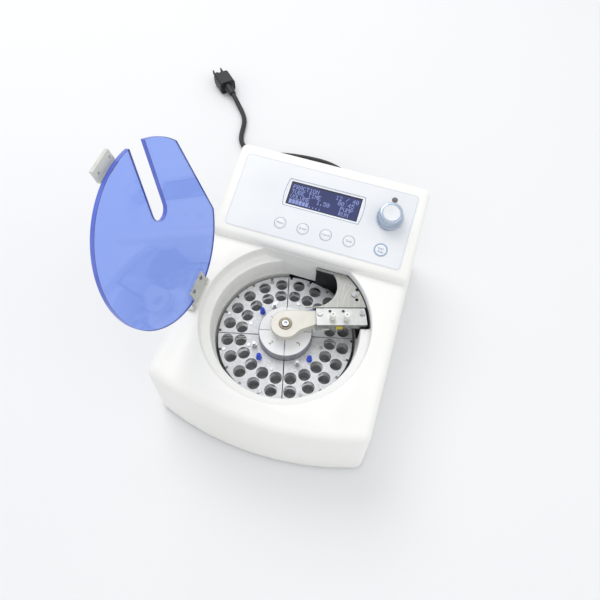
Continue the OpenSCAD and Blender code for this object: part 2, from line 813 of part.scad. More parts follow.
module motor_pulley() color("lightgray") translate([0, motor_y, 0]) {
    ring(pinion_r, 2.5 + running, pulley_z, pulley_z + pulley_t);
    ring(pinion_r + 2.5, 2.5 + running, pulley_z - 1, pulley_z);
    ring(pinion_r + 2.5, 2.5 + running, pulley_z + pulley_t, pulley_z + pulley_t + 1);
}

// Flat belt round both pulleys
module belt_outline(t) {
    a = acos((wheel_r - pinion_r) / motor_y);
    polygon(concat(arc([0, 0], wheel_r + t, 90 + a, 450 - a, 40),
        arc([0, motor_y], pinion_r + t, 90 - a, 90 + a, 16)));
}

module drive_belt() color([0.1, 0.1, 0.1])
    translate([0, 0, pulley_z + (pulley_t - belt_w) / 2]) linear_extrude(belt_w) difference() {
        belt_outline(fit + belt_t);
        belt_outline(fit);
    }

module control_board() color("darkgreen") translate([boss_x - 92, rear_y - 172, 0]) {
    slab(26, 84, 92, 150, 12, 13.6);
    for (x = [30, 80], y = [96, 146]) translate([x, y, 0]) post(2.5, rim_z + 2, 12);
    slab(30, 46, 100, 116, 13.6, 16);
    slab(56, 64, 100, 124, 13.6, 21);
    slab(70, 78, 104, 122, 13.6, 24);
    for (x = [32, 44, 56]) translate([x, 136, 0]) post(4, 13.6, 24);
}

module power_supply() color("lightgray") {
    slab(-boss_x - 6, 18 - boss_x, rear_y - 84, rear_y - 34, rim_z + 2, 40);
}

// ------------------------------------------------------------------ carousel

module carousel_platter() color("silver") {
    ring(carousel_r - 0.4, bore_r, platter_z, platter_z + platter_t);
    ring(spindle_r, bore_r, spindle_low, platter_z);
}

module carousel_pulley() color("lightgray") {
    ring(wheel_r, spindle_r + seat / 2, pulley_z, pulley_z + pulley_t);
}

// One quarter of the carousel, seen from above
module sector(r_out, r_in) {
    difference() {
        intersection() {
            circle(r = r_out, $fn = 128);
            translate([sector_gap / 2, sector_gap / 2]) square(200);
        }
        circle(r = r_in, $fn = 96);
    }
}

// Hole centres of one cassette as radius and angle from its gap
function holes() = [for (k = [0:4]) each [[outer_r, outer_start + hole_pitch * k],
    [inner_r, inner_start + hole_pitch * k]]];
// Screws that hold the top plate, as radius and angle from the gap
plate_screws = [[carousel_r - 5, 16], [carousel_r - 5, 70], [inner_r - 7.5, 18],
    [inner_r - 7.5, 72]];

module cassette(k) color([0.8, 0.8, 0.79]) rotate([0, 0, sector_start[k]]) {
    mid_z = block_top + plate_gap / 2;
    difference() {
        union() {
            translate([0, 0, cassette_z - plate_t]) linear_extrude(plate_t)
                sector(carousel_r, hub_r + fit);
            translate([0, 0, block_low]) linear_extrude(block_top - block_low)
                sector(carousel_r - 1.2, hub_r + fit);
            for (s = plate_screws) at_polar(s) post(stud_r, block_top - 1, cassette_z - 1);
        }
        for (h = holes()) at_polar(h) {
            post(hole_d / 2, mid_z, 100);
            post(seat_d / 2, hole_floor, mid_z + 1);
        }
        for (j = [0:4]) rotate([0, 0, outer_start + 8.5 + hole_pitch * j])
            slab(carousel_r - notch, 100, -notch / 2, notch / 2, mid_z, 100);
        for (s = plate_screws) at_polar(s) post(1, block_top, 100);
    }
}

module cassette_1() cassette(0);
module cassette_2() cassette(1);
module cassette_3() cassette(2);
module cassette_4() cassette(3);

module carousel_hub() color("gray") {
    difference() {
        rotate_extrude($fn = 96) polygon([[bore_r, block_low], [hub_r, block_low],
            [hub_r, cassette_z + hub_h - 1.2], [hub_r - 1, cassette_z + hub_h - 0.2],
            [bore_r, cassette_z + hub_h - 0.2]]);
    }
}

module hub_dial() color("white")
    difference() {
        ring(hub_r - 0.8, bore_r, cassette_z + hub_h - 0.2, cassette_z + hub_h + 0.6);
        for (k = [0:3]) rotate([0, 0, sector_start[k]]) slab(0, 40, -0.45, 0.45, 0, 200);
    }

module cassette_fittings() color("silver")
    for (k = [0:3]) rotate([0, 0, sector_start[k]]) {
        for (s = plate_screws) at_polar(s) translate([0, 0, cassette_z]) {
            post(1.8, 0, 0.8);
            post(0.95, -plate_t - 5, eps);
        }
        // two-step peg
        at_polar([inner_r - 12.5, 23]) translate([0, 0, cassette_z]) {
            post(peg_r, 0, peg_h * 0.55);
            post(peg_r - 0.9, 0, peg_h);
        }
    }

module blue_pegs() color("blue")
    for (k = [0:3]) rotate([0, 0, sector_start[k]]) at_polar([inner_r - 10.5, 45])
        translate([0, 0, cassette_z]) rotate_extrude() polygon(concat(
            [[0, 0], [peg_r + 0.4, 0], [peg_r + 0.4, 2], [peg_r - 0.3, 3.2]],
            arc([0, peg_h - peg_r + 0.2], peg_r - 0.2, 0, 90, 5)));

// ------------------------------------------------------------------ needle arm

module arm_outline() {
    circle(r = arm_end_r, $fn = 96);
    polygon([[0, arm_end_r], [block_u, arm_end_r], [block_u, -0.6], [block_u - 5.5, -2.6],
        [14.5, -6.6],
        [9, -11.4], [0, 0]]);
}

module needle_arm() color([0.82, 0.81, 0.76]) along_arm() {
    difference() {
        union() {
            translate([0, 0, arm_low]) linear_extrude(arm_t) arm_outline();
            slab(block_u - 1, block_u + tongue_l, 2, block_rear - 3, arm_low,
                arm_low + tongue_t);
        }
        post(6.3, 0, 200);
    }
}

module arm_bush() color([0.72, 0.55, 0.3])
    difference() {
        union() {
            post(6.2, arm_low - 2, arm_z + 0.4);
            post(7, arm_low - 2, arm_low - eps);
        }
        post(post_r + running, 0, 200);
    }

module needle_block() color("silver") along_arm()
    difference() {
        intersection() {
            slab(block_u, 100, -block_front, block_rear, block_under, block_z);
            post(block_reach, 0, 200);
        }
        slab(0, block_u + tongue_l + seat, 2 - seat, block_rear - 3 + seat, 0,
            arm_low + tongue_t + seat);
        for (n = [needle_1, needle_2]) at_polar([n[0], n[1] - arm_angle])
            post(needle_r + running, 0, 200);
        // blind holes behind the nipples and a step along the front
        for (u = [inner_r - 2.3, outer_r - 2.6]) translate([u, 12.2, 0]) post(1.5, block_z - 6, 200);
        slab(block_u + 6, 200, -20, -block_front + 1.2, 0, block_under + 3.5);
        for (u = block_screws_u) translate([u, 9.7, 0]) post(screw_r, block_z - 5, 200);
    }

module tube_nipples() color("white")
    for (n = [needle_1, needle_2]) at_polar(n) translate([0, 0, block_z])
        difference() {
            rotate_extrude() polygon([[0, 0], [nipple_r, 0], [nipple_r, nipple_h - 2.6],
                [nipple_r - 0.5, nipple_h - 2.2], [nipple_r + 0.1, nipple_h - 1.6],
                [nipple_r + 0.1, nipple_h - 0.5], [nipple_r - 0.4, nipple_h], [0, nipple_h]]);
            post(needle_r + running, -1, 50);
        }

module needles() color("silver")
    for (n = [needle_1, needle_2]) at_polar(n)
        ring(needle_r, needle_r / 2, needle_tip, block_z + nipple_h - 1);

module block_screws() color("silver") along_arm() {
    for (u = block_screws_u) translate([u, 9.7, block_z]) pan_screw(screw_r - running, 4.5);
    for (u = [block_u + 2.5, block_u + 7.5]) translate([u, -block_front, block_under + 6.5]) rotate([90, 0, 0])
        post(1.4, 0, 0.7);
}

module lift_rod() color("silver")
    at_polar(lift_rod_pos) post(lift_rod_r, rim_z + 20.5, block_under);

// ------------------------------------------------------------------ lid

module hinge_posts() color("silver")
    for (y = [[post_front, post_front + 4.5], [post_rear - 6.5, post_rear]])
        translate([-hinge_x, 0, 0]) difference() {
            union() {
                slab(-5, hinge_out - 1.6, y[0], y[1], deck_z, deck_z + 1.6);
                slab(-barrel_r, barrel_r, y[0], y[1], deck_z, hinge_z);
                translate([0, y[0], hinge_z]) rotate([-90, 0, 0])
                    post(barrel_r, 0, y[1] - y[0]);
                translate([0, (y[0] + y[1]) / 2, 0]) post(screw_r - running, deck_z - 8, deck_z);
            }
            translate([0, y[0] - 1, hinge_z]) rotate([-90, 0, 0]) post(pin_r, 0, 20);
        }

module hinge_pin() color("silver")
    translate([-hinge_x, post_front, hinge_z]) rotate([-90, 0, 0])
        post(pin_r - running / 2, 0, post_rear - post_front);

module lid_plate() color([0.35, 0.45, 0.95, 0.5]) opened()
    translate([0, 0, lid_low]) linear_extrude(lid_t) difference() {
        intersection() {
            circle(r = lid_r, $fn = 192);
            translate([-200, -200]) square([400, 200 + lid_chord_y]);
        }
        rotate(arm_angle) translate([slot_u, slot_v]) {
            circle(r = slot_w / 2);
            translate([0, -slot_w / 2]) square([200, slot_w]);
        }
        for (y = hinge_screw_y) translate([hinge_screw_x, y]) circle(r = hinge_screw_r + seat);
    }

// Flange under the lid, web beside its edge and strap to the barrel on the pin
module lid_hinge_block() color("silver") opened() {
    web = -lid_r - seat;
    strap_z = hinge_z - barrel_r + 0.3;
    difference() {
        union() {
            slab(web - 1.6, -lid_r + 14, hinge_block_y[0], hinge_block_y[1],
                lid_low - flange_t, lid_low);
            slab(web - 1.6, web, hinge_block_y[0], hinge_block_y[1],
                lid_low - flange_t, strap_z + 2);
            slab(-hinge_x, web, hinge_block_y[0], hinge_block_y[1], strap_z, strap_z + 2);
            translate([-hinge_x, hinge_block_y[0], hinge_z]) rotate([-90, 0, 0])
                post(barrel_r, 0, hinge_block_y[1] - hinge_block_y[0]);
        }
        translate([-hinge_x, -50, hinge_z]) rotate([-90, 0, 0]) post(pin_r + running / 2, 0, 100);
        for (y = hinge_screw_y) translate([hinge_screw_x, y, 0])
            post(hinge_screw_r + seat, 0, 200);
    }
}

module lid_screws() color("dimgray") opened() {
    for (y = hinge_screw_y) translate([hinge_screw_x, y, lid_low - flange_t])
        rotate([180, 0, 0]) pan_screw(hinge_screw_r, lid_t + flange_t - 1);
}

module lid_handle() color("silver") opened()
    difference() {
        union() {
            slab(lid_r - handle_lap, handle_reach, handle_y[0], handle_y[1],
                lid_top + 0.8, lid_top + 4);
            slab(lid_r - handle_lap, lid_r - 0.5, handle_y[0], handle_y[1],
                lid_top, lid_top + 0.8);
        }
        slab(handle_reach - 3, handle_reach - 2, -50, 50, lid_top + 3.2, 200);
        for (y = [handle_y[0] + 3.6, handle_y[1] - 3])
            translate([lid_r + 3.7, y, 0]) post(1.1, 0, 200);
    }

// ------------------------------------------------------------------ mains cord

module mains_connector() color([0.05, 0.05, 0.05])
    translate([inlet_x, rear_y, inlet_z]) rotate([-90, 0, 0]) {
        translate([0, 0, -13]) linear_extrude(15) square([23.4, 16], center = true);
        translate([0, 0, 2]) linear_extrude(20) round_rect(28, 20, 4);
        difference() {
            translate([0, 0, 22]) cylinder(r1 = 8, r2 = 5, h = relief_end - 22);
            for (k = [0:2]) ring(12, 4.2, 25 + 4.5 * k, 27 + 4.5 * k);
        }
    }

// A tube along given points: a flat ring of corners square to the path at each point
function unit(v) = v / norm(v);
function tangent(p, i) = unit(p[min(i + 1, len(p) - 1)] - p[max(i - 1, 0)]);
function across(t) = unit(cross([0, 0, 1], t));
module swept_tube(p, r, sides) {
    n = len(p);
    rings = [for (i = [0:n - 1]) let (t = tangent(p, i), s = across(t), u = cross(t, s))
        for (k = [0:sides - 1]) let (a = 360 * (k + 0.5) / sides)
            p[i] + r * cos(a) * s + r * sin(a) * u];
    walls = [for (i = [0:n - 2], k = [0:sides - 1]) let (q = (k + 1) % sides)
        each [[i * sides + k, i * sides + q, (i + 1) * sides + k],
            [i * sides + q, (i + 1) * sides + q, (i + 1) * sides + k]]];
    ends = [[for (k = [sides - 1:-1:0]) k], [for (k = [0:sides - 1]) (n - 1) * sides + k]];
    polyhedron(rings, [for (f = concat(walls, ends)) [for (k = [len(f) - 1:-1:0]) f[k]]]);
}

// Centre line of the coil: it spirals in and out, a layer higher after each reversal
coil_total = coil_turns - (90 - coil_exit) / 360;
turns_a_layer = coil_turns / coil_layers;
function coil_radius(t) = let (layer = floor(t / turns_a_layer), s = t - layer * turns_a_layer)
    coil_mid_r + coil_pitch * (turns_a_layer / 2 - (layer % 2 == 0 ? s : turns_a_layer - s));
function climb(t, at) = let (s = min(1, max(0, (t - at + 0.25) / 0.5))) s * s * (3 - 2 * s);
function coil_height(t) = cord_r + coil_step
    * (climb(t, turns_a_layer) + climb(t, 2 * turns_a_layer) + climb(t, 3 * turns_a_layer));
function coil_point(t) = let (a = 90 + 360 * t)
    [coil_x + coil_radius(t) * cos(a), coil_y + coil_radius(t) * sin(a), coil_height(t)];
coil_steps = round(coil_total * coil_rings);
coil_line = [for (i = [0:coil_steps]) coil_point(coil_total * i / coil_steps)];
coil_start = coil_line[0] + [2 * cord_r, 0, 0];
coil_end = coil_line[coil_steps] + 2 * cord_r * unit([cos(coil_exit + 90), sin(coil_exit + 90), 0]);
coil_path = concat([coil_start], coil_line, [coil_end]);

// Least clear distance between turns that lie beside or on each other
function coil_gap() = min([for (i = [0:coil_steps])
    min([1000, for (j = [i + 12:1:coil_steps]) norm(coil_line[i] - coil_line[j])])]) - 2 * cord_r;
echo(coil_gap = coil_gap());
echo(coil_start = coil_start, coil_end = coil_end);

module cord_lead() color([0.05, 0.05, 0.05])
    swept_tube(concat(lead_points, [coil_start]), cord_r, cord_sides);

module cord_coil() color([0.05, 0.05, 0.05]) swept_tube(coil_path, cord_r, coil_sides);

module cord_tail() color([0.05, 0.05, 0.05])
    swept_tube(concat([coil_end], tail_points), cord_r, cord_sides);

module mains_plug() color([0.05, 0.05, 0.05]) {
    tail_end = tail_points[len(tail_points) - 1];
    translate(tail_end) rotate([90, 0, plug_dir + 90]) {
        cylinder(r1 = 4.6, r2 = 7, h = 18);
        translate([0, 0, 18]) linear_extrude(plug_l - 18) round_rect(24, 19.6, 5);
        for (x = [-6.3, 6.3]) slab(x - 0.8, x + 0.8, -3.2, 3.2, plug_l - 1, plug_l + 17);
        translate([0, -6, 0]) post(2.3, plug_l - 1, plug_l + 19);
    }
}

// ------------------------------------------------------------------ assembly

housing();
base_plate();
feet();
case_screws();
well_liner();
pocket_liner();
bridge_plate();
hinge_posts();
hinge_pin();
central_post();
spindle_bearing();
lift_drive();
panel_overlay();
display_module();
display_window();
status_lamp();
knob_encoder();
rear_panel();
mains_inlet();
fan_frame();
heat_sink();
drive_motor();
drive_belt();
control_board();
power_supply();
motor_pulley();
fan_rotor();
power_rocker();
control_knob();
key_1();
key_2();
key_3();
key_4();
start_key();
carousel_platter();
carousel_pulley();
cassette_1();
cassette_2();
cassette_3();
cassette_4();
carousel_hub();
hub_dial();
cassette_fittings();
blue_pegs();
needle_arm();
arm_bush();
needle_block();
tube_nipples();
needles();
block_screws();
lift_rod();
lid_plate();
lid_hinge_block();
lid_screws();
lid_handle();
mains_connector();
cord_lead();
cord_coil();
cord_tail();
mains_plug();
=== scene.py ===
"""Looks of the bench-top fraction collector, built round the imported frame."""
import math

import bmesh
import bpy
from mathutils import Matrix, Vector


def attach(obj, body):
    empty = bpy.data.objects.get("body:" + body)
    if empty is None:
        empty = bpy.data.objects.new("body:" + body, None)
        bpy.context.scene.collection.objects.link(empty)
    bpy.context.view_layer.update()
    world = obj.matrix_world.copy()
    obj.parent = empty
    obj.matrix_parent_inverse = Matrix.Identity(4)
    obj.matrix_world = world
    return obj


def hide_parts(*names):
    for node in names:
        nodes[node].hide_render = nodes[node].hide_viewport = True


MM = 0.001
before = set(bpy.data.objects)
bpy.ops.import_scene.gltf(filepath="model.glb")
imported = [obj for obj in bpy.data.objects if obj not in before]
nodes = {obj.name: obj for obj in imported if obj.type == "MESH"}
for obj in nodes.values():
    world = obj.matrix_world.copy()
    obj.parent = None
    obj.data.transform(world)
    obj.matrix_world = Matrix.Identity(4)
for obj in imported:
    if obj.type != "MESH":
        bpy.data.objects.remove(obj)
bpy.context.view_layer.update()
scene = bpy.context.scene
scene.view_settings.view_transform = "Standard"


def mm(*v):
    """Millimetres of the row frame as a vector in metres."""
    return Vector([c * MM for c in v])


# ------------------------------------------------------------------ camera

AZ, EL, ROLL = math.radians(14.77), math.radians(62.79), math.radians(2.92)
FOCAL_PX, FRAME_PX, SENSOR_MM = 491.69, 600, 36
EYE = mm(63.6, -189.8, 533.6)


def make_camera():
    """The photograph's camera, as fitted to the part."""
    fwd = Vector((-math.sin(AZ) * math.cos(EL), math.cos(AZ) * math.cos(EL), -math.sin(EL)))
    right = Vector((math.cos(AZ), math.sin(AZ), 0))
    up = right.cross(fwd)
    side = math.cos(ROLL) * right + math.sin(ROLL) * up
    top = -math.sin(ROLL) * right + math.cos(ROLL) * up
    data = bpy.data.cameras.new("camera")
    data.sensor_width = SENSOR_MM
    data.lens = SENSOR_MM * FOCAL_PX / FRAME_PX
    data.clip_start = 0.01
    cam = bpy.data.objects.new("camera", data)
    place = Matrix((side, top, -fwd)).transposed().to_4x4()
    place.translation = EYE
    cam.matrix_world = place
    scene.collection.objects.link(cam)
    scene.camera = cam


make_camera()

# ------------------------------------------------------------------ materials


def shader(name, base, rough=0.5, metal=0.0, **sockets):
    """A material whose Principled shader has these values."""
    mat = bpy.data.materials.new(name)
    mat.use_nodes = True
    bsdf = mat.node_tree.nodes["Principled BSDF"]
    bsdf.inputs["Base Color"].default_value = (*base, 1)
    bsdf.inputs["Roughness"].default_value = rough
    bsdf.inputs["Metallic"].default_value = metal
    for key, value in sockets.items():
        bsdf.inputs[key.replace("_", " ")].default_value = value
    mat.diffuse_color = (*base, 1)
    return mat


def node(mat, kind, **values):
    """A new node, with values for its sockets or its own settings."""
    n = mat.node_tree.nodes.new(kind)
    for key, value in values.items():
        if key in n.inputs:
            n.inputs[key].default_value = value
        else:
            setattr(n, key, value)
    return n


def coords(mat, scale=(1, 1, 1)):
    """Object coordinates, stretched."""
    source = node(mat, "ShaderNodeTexCoord")
    mapping = node(mat, "ShaderNodeMapping", Scale=scale)
    mat.node_tree.links.new(source.outputs["Object"], mapping.inputs["Vector"])
    return mapping.outputs["Vector"]


def vary(mat, dark, light, scale, stretch=(1, 1, 1), detail=4):
    """Slow or fine colour variation between two colours."""
    links = mat.node_tree.links
    noise = node(mat, "ShaderNodeTexNoise", Scale=scale, Detail=detail)
    links.new(coords(mat, stretch), noise.inputs["Vector"])
    ramp = node(mat, "ShaderNodeValToRGB")
    for stop, position, colour in zip(ramp.color_ramp.elements, (0.3, 0.7), (dark, light)):
        stop.position = position
        stop.color = (*colour, 1)
    links.new(noise.outputs["Fac"], ramp.inputs["Fac"])
    links.new(ramp.outputs["Color"], mat.node_tree.nodes["Principled BSDF"].inputs["Base Color"])
    return mat


def grain(mat, scale, strength, distance=0.0002, stretch=(1, 1, 1), rough=None):
    """Fine bump, and where asked a roughness that varies with it."""
    links = mat.node_tree.links
    bsdf = mat.node_tree.nodes["Principled BSDF"]
    noise = node(mat, "ShaderNodeTexNoise", Scale=scale, Detail=3.0)
    links.new(coords(mat, stretch), noise.inputs["Vector"])
    bump = node(mat, "ShaderNodeBump", Strength=strength, Distance=distance)
    links.new(noise.outputs["Fac"], bump.inputs["Height"])
    links.new(bump.outputs["Normal"], bsdf.inputs["Normal"])
    if rough:
        span = node(mat, "ShaderNodeMapRange")
        span.inputs["To Min"].default_value = rough[0]
        span.inputs["To Max"].default_value = rough[1]
        links.new(noise.outputs["Fac"], span.inputs["Value"])
        links.new(span.outputs["Result"], bsdf.inputs["Roughness"])
    return mat


def lin(r, g, b):
    """A colour as seen, 0 to 255, as the shader's linear values."""
    return tuple((c / 255) ** 2.2 for c in (r, g, b))


M = {}
M["shell"] = grain(vary(shader("shell", lin(246, 245, 241), 0.42), lin(244, 243, 238),
                        lin(248, 247, 244), 9), 1800, 0.10, rough=(0.38, 0.5))
M["black"] = grain(vary(shader("black", lin(34, 34, 36), 0.55), lin(26, 26, 28),
                        lin(42, 42, 45), 60), 1500, 0.25, rough=(0.45, 0.62))
M["liner"] = grain(vary(shader("liner", lin(212, 212, 209), 0.5), lin(206, 206, 203),
                        lin(218, 218, 215), 30), 1500, 0.12, rough=(0.44, 0.56))
M["dark"] = grain(vary(shader("dark", lin(38, 39, 41), 0.5), lin(33, 33, 35), lin(44, 45, 47),
                       50), 1200, 0.3)
M["cassette"] = grain(vary(shader("cassette", lin(216, 217, 217), 0.5, 0.45),
                           lin(202, 203, 204), lin(224, 225, 225), 420, detail=6),
                      2600, 0.4, rough=(0.44, 0.58))
M["satin"] = grain(vary(shader("satin", lin(206, 208, 211), 0.3, 0.95), lin(196, 198, 202),
                        lin(216, 218, 220), 70), 900, 0.12, stretch=(1, 9, 1),
                   rough=(0.26, 0.36))
M["cast"] = grain(vary(shader("cast", lin(208, 209, 201), 0.46, 0.25), lin(198, 199, 191),
                       lin(216, 217, 210), 90), 1500, 0.2, rough=(0.4, 0.52))
M["block"] = grain(vary(shader("block", lin(188, 189, 187), 0.34, 0.9), lin(180, 181, 179),
                        lin(198, 199, 197), 110), 1000, 0.12, rough=(0.3, 0.4))
M["steel"] = grain(vary(shader("steel", lin(160, 160, 156), 0.38, 0.8), lin(144, 144, 140),
                        lin(174, 174, 170), 120, (14, 0.6, 1)), 900, 0.2,
                   stretch=(16, 0.5, 1), rough=(0.3, 0.44))
M["screw"] = grain(vary(shader("screw", lin(172, 173, 176), 0.28, 1.0), lin(150, 151, 154),
                        lin(190, 191, 194), 300), 2000, 0.15)
M["zinc"] = grain(vary(shader("zinc", lin(190, 194, 198), 0.35, 1.0), lin(168, 172, 178),
                       lin(206, 209, 212), 35), 500, 0.15)
M["hub"] = grain(vary(shader("hub", lin(158, 162, 168), 0.34, 0.9), lin(146, 150, 156),
                      lin(170, 174, 180), 80), 1600, 0.15, stretch=(1, 1, 8))
M["dial"] = grain(vary(shader("dial", lin(247, 247, 246), 0.4), lin(244, 244, 243),
                       lin(249, 249, 248), 60), 1800, 0.08)
M["arm"] = grain(vary(shader("arm", lin(206, 203, 193), 0.4, 0.35), lin(199, 196, 186),
                      lin(213, 210, 200), 60), 1500, 0.22, rough=(0.36, 0.48))
M["bronze"] = grain(vary(shader("bronze", lin(136, 127, 110), 0.38, 0.9), lin(120, 111, 94),
                         lin(150, 141, 123), 140), 900, 0.2)
M["nipple"] = grain(vary(shader("nipple", lin(240, 240, 234), 0.35), lin(236, 236, 228),
                         lin(244, 244, 240), 200), 1500, 0.1)
M["peg"] = grain(vary(shader("peg", lin(40, 80, 222), 0.28), lin(34, 70, 208),
                      lin(50, 92, 232), 200), 1200, 0.1)
M["overlay"] = grain(vary(shader("overlay", lin(234, 237, 240), 0.36), lin(230, 233, 237),
                          lin(238, 240, 242), 14), 2400, 0.12, rough=(0.32, 0.42))
M["key"] = grain(vary(shader("key", lin(236, 239, 243), 0.4), lin(233, 236, 240),
                      lin(240, 243, 246), 90), 2000, 0.1)
M["print_blue"] = vary(shader("print_blue", lin(74, 96, 150), 0.4), lin(68, 90, 144),
                       lin(80, 102, 156), 200)
M["print_grey"] = vary(shader("print_grey", lin(112, 118, 130), 0.45), lin(104, 110, 122),
                       lin(120, 126, 138), 200)
M["print_pale"] = vary(shader("print_pale", lin(196, 201, 210), 0.45), lin(190, 196, 205),
                       lin(202, 207, 215), 200)
M["ring_blue"] = vary(shader("ring_blue", lin(104, 146, 190), 0.4), lin(96, 138, 182),
                      lin(112, 154, 198), 200)
M["digit"] = vary(shader("digit", lin(58, 60, 64), 0.5), lin(52, 54, 58), lin(66, 68, 72), 300)
M["knob_top"] = grain(vary(shader("knob_top", lin(232, 234, 238), 0.24, 0.75),
                           lin(226, 228, 233), lin(238, 240, 243), 60), 1400, 0.06)
M["knob_side"] = grain(vary(shader("knob_side", lin(176, 188, 204), 0.26, 0.85),
                            lin(166, 178, 196), lin(188, 199, 214), 60), 1400, 0.1,
                       stretch=(6, 6, 0.6))
M["rubber"] = grain(vary(shader("rubber", lin(30, 30, 32), 0.6), lin(24, 24, 26),
                         lin(38, 38, 41), 80), 900, 0.4, rough=(0.52, 0.68))
M["cord"] = grain(vary(shader("cord", lin(28, 28, 30), 0.45), lin(24, 24, 26), lin(34, 34, 36),
                       80), 700, 0.3, rough=(0.4, 0.55))
M["rear"] = grain(vary(shader("rear", lin(92, 95, 100), 0.5), lin(86, 89, 94),
                       lin(99, 102, 107), 30), 1400, 0.5, rough=(0.44, 0.6))
M["board"] = grain(vary(shader("board", lin(28, 84, 52), 0.4), lin(22, 74, 44),
                        lin(36, 96, 60), 90), 900, 0.2)
M["lamp"] = grain(shader("lamp", lin(120, 96, 74), 0.18), 900, 0.05)
M["yellow"] = vary(shader("yellow", lin(196, 178, 40), 0.4), lin(184, 166, 32),
                   lin(206, 188, 52), 200)
# the display's black edge; its extra width at the top and the left is painted shadow of the
# window's frame
M["lcd_edge_and_shadow"] = vary(shader("lcd_edge_and_shadow", lin(20, 22, 40), 0.3), lin(16, 18, 34),
                     lin(26, 28, 48), 60)
M["mask"] = grain(vary(shader("mask", lin(240, 242, 246), 0.3), lin(237, 239, 243),
                       lin(243, 245, 248), 40), 1500, 0.05)
M["tie"] = grain(vary(shader("tie", lin(46, 46, 50), 0.8), lin(38, 38, 42), lin(56, 56, 60), 160),
                 1400, 0.6)


def make_glass():
    """Clear acrylic with a blue tint."""
    mat = shader("lid_acrylic", (0.29, 0.415, 0.94), 0.03, Transmission_Weight=1.0, IOR=1.49)
    return grain(mat, 14, 0.02, 0.0004)


def make_rim(name, deep, light):
    """The lid's cut edge, where the tint gathers."""
    mat = vary(shader(name, deep, 0.3), deep, light, 60)
    mat.node_tree.nodes["Principled BSDF"].inputs["Coat Weight"].default_value = 0.4
    return grain(mat, 700, 0.15)


def make_lcd():
    """Deep blue glass over a faintly lit field."""
    mat = shader("lcd_glass", lin(34, 42, 88), 0.12)
    vary(mat, lin(29, 36, 78), lin(43, 52, 104), 14)
    bsdf = mat.node_tree.nodes["Principled BSDF"]
    bsdf.inputs["Coat Weight"].default_value = 0.5
    bsdf.inputs["Emission Color"].default_value = (*lin(44, 54, 112), 1)
    bsdf.inputs["Emission Strength"].default_value = 0.2
    return mat


def make_pixel():
    """A lit dot of the display."""
    mat = shader("lcd_dot", lin(140, 154, 208), 0.4)
    vary(mat, lin(128, 142, 198), lin(150, 164, 216), 300)
    bsdf = mat.node_tree.nodes["Principled BSDF"]
    bsdf.inputs["Emission Color"].default_value = (*lin(130, 142, 190), 1)
    bsdf.inputs["Emission Strength"].default_value = 0.25
    return mat


M["lid"] = make_glass()
M["lid_rim"] = make_rim("lid_rim", lin(80, 100, 206), lin(100, 120, 220))
M["lid_line"] = make_rim("lid_line", lin(38, 48, 104), lin(50, 60, 120))
M["lcd"] = make_lcd()
M["dot"] = make_pixel()

# ------------------------------------------------------------------ mesh helpers

WELD, FLAT_DEG = 2e-6, 0.4
EDGE_DEG, HOUSING_EDGE_DEG = 32, 40

def smooth_by_angle(mesh, angle):
    """Smooth shading, sharp where faces meet at more than the angle."""
    mesh.polygons.foreach_set("use_smooth", [True] * len(mesh.polygons))
    mesh.set_sharp_from_angle(angle=math.radians(angle))


def link(name, mesh, mat, body, angle=35):
    """An object for the mesh, riding on its body."""
    obj = bpy.data.objects.new(name, mesh)
    scene.collection.objects.link(obj)
    if mat:
        mesh.materials.clear()
        mesh.materials.append(mat)
    smooth_by_angle(mesh, angle)
    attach(obj, body)
    return obj


def bevelled(obj, width):
    """Fine rounded edges, a width in millimetres."""
    if width:
        edge = obj.modifiers.new("edge", "BEVEL")
        edge.width = width * MM
        edge.segments = 2
        edge.limit_method = "ANGLE"
        edge.angle_limit = math.radians(EDGE_DEG)


def refine(name, mat, body, bevel, angle):
    """The CAD node's own shape, welded, smoothed and with fine edges, standing for it."""
    mesh = nodes[name].data.copy()
    if "custom_normal" in mesh.attributes:
        mesh.attributes.remove(mesh.attributes["custom_normal"])
    bm = bmesh.new()
    bm.from_mesh(mesh)
    bmesh.ops.remove_doubles(bm, verts=bm.verts, dist=WELD)
    bmesh.ops.dissolve_degenerate(bm, dist=WELD, edges=bm.edges)
    if "cassette" not in name:  # one face round ten holes wouldn't fill rightly
        bmesh.ops.dissolve_limit(bm, angle_limit=math.radians(FLAT_DEG), verts=bm.verts,
                                 edges=bm.edges)
    bm.to_mesh(mesh)
    bm.free()
    obj = link(name + "_form", mesh, mat, body, angle)
    bevelled(obj, bevel)
    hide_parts(name)


def paint(name, mat):
    """A CAD node that shows as it is, with a better material."""
    mesh = nodes[name].data
    mesh.materials.clear()
    mesh.materials.append(mat)


def from_bm(name, bm, mat, body):
    """An object from a form built here, with its faces turned outwards."""
    bmesh.ops.recalc_face_normals(bm, faces=bm.faces)
    mesh = bpy.data.meshes.new(name)
    bm.to_mesh(mesh)
    bm.free()
    obj = link(name, mesh, mat, body)
    return obj


def prism(bm, outline, z0, z1, place):
    """A closed prism on an outline in millimetres, from height z0 to z1."""
    low = [bm.verts.new(place @ mm(x, y, z0)) for x, y in outline]
    high = [bm.verts.new(place @ mm(x, y, z1)) for x, y in outline]
    n = len(outline)
    bm.faces.new(low[::-1])
    bm.faces.new(high)
    for i in range(n):
        j = (i + 1) % n
        bm.faces.new((low[i], low[j], high[j], high[i]))


def band(bm, outer, inner, z0, z1, place):
    """A closed frame between two outlines with as many points."""
    n = len(outer)
    rows = [[bm.verts.new(place @ mm(x, y, z)) for x, y in line]
            for line, z in ((outer, z0), (outer, z1), (inner, z1), (inner, z0))]
    for k in range(4):
        a, b = rows[k], rows[(k + 1) % 4]
        for i in range(n):
            j = (i + 1) % n
            bm.faces.new((a[i], a[j], b[j], b[i]))


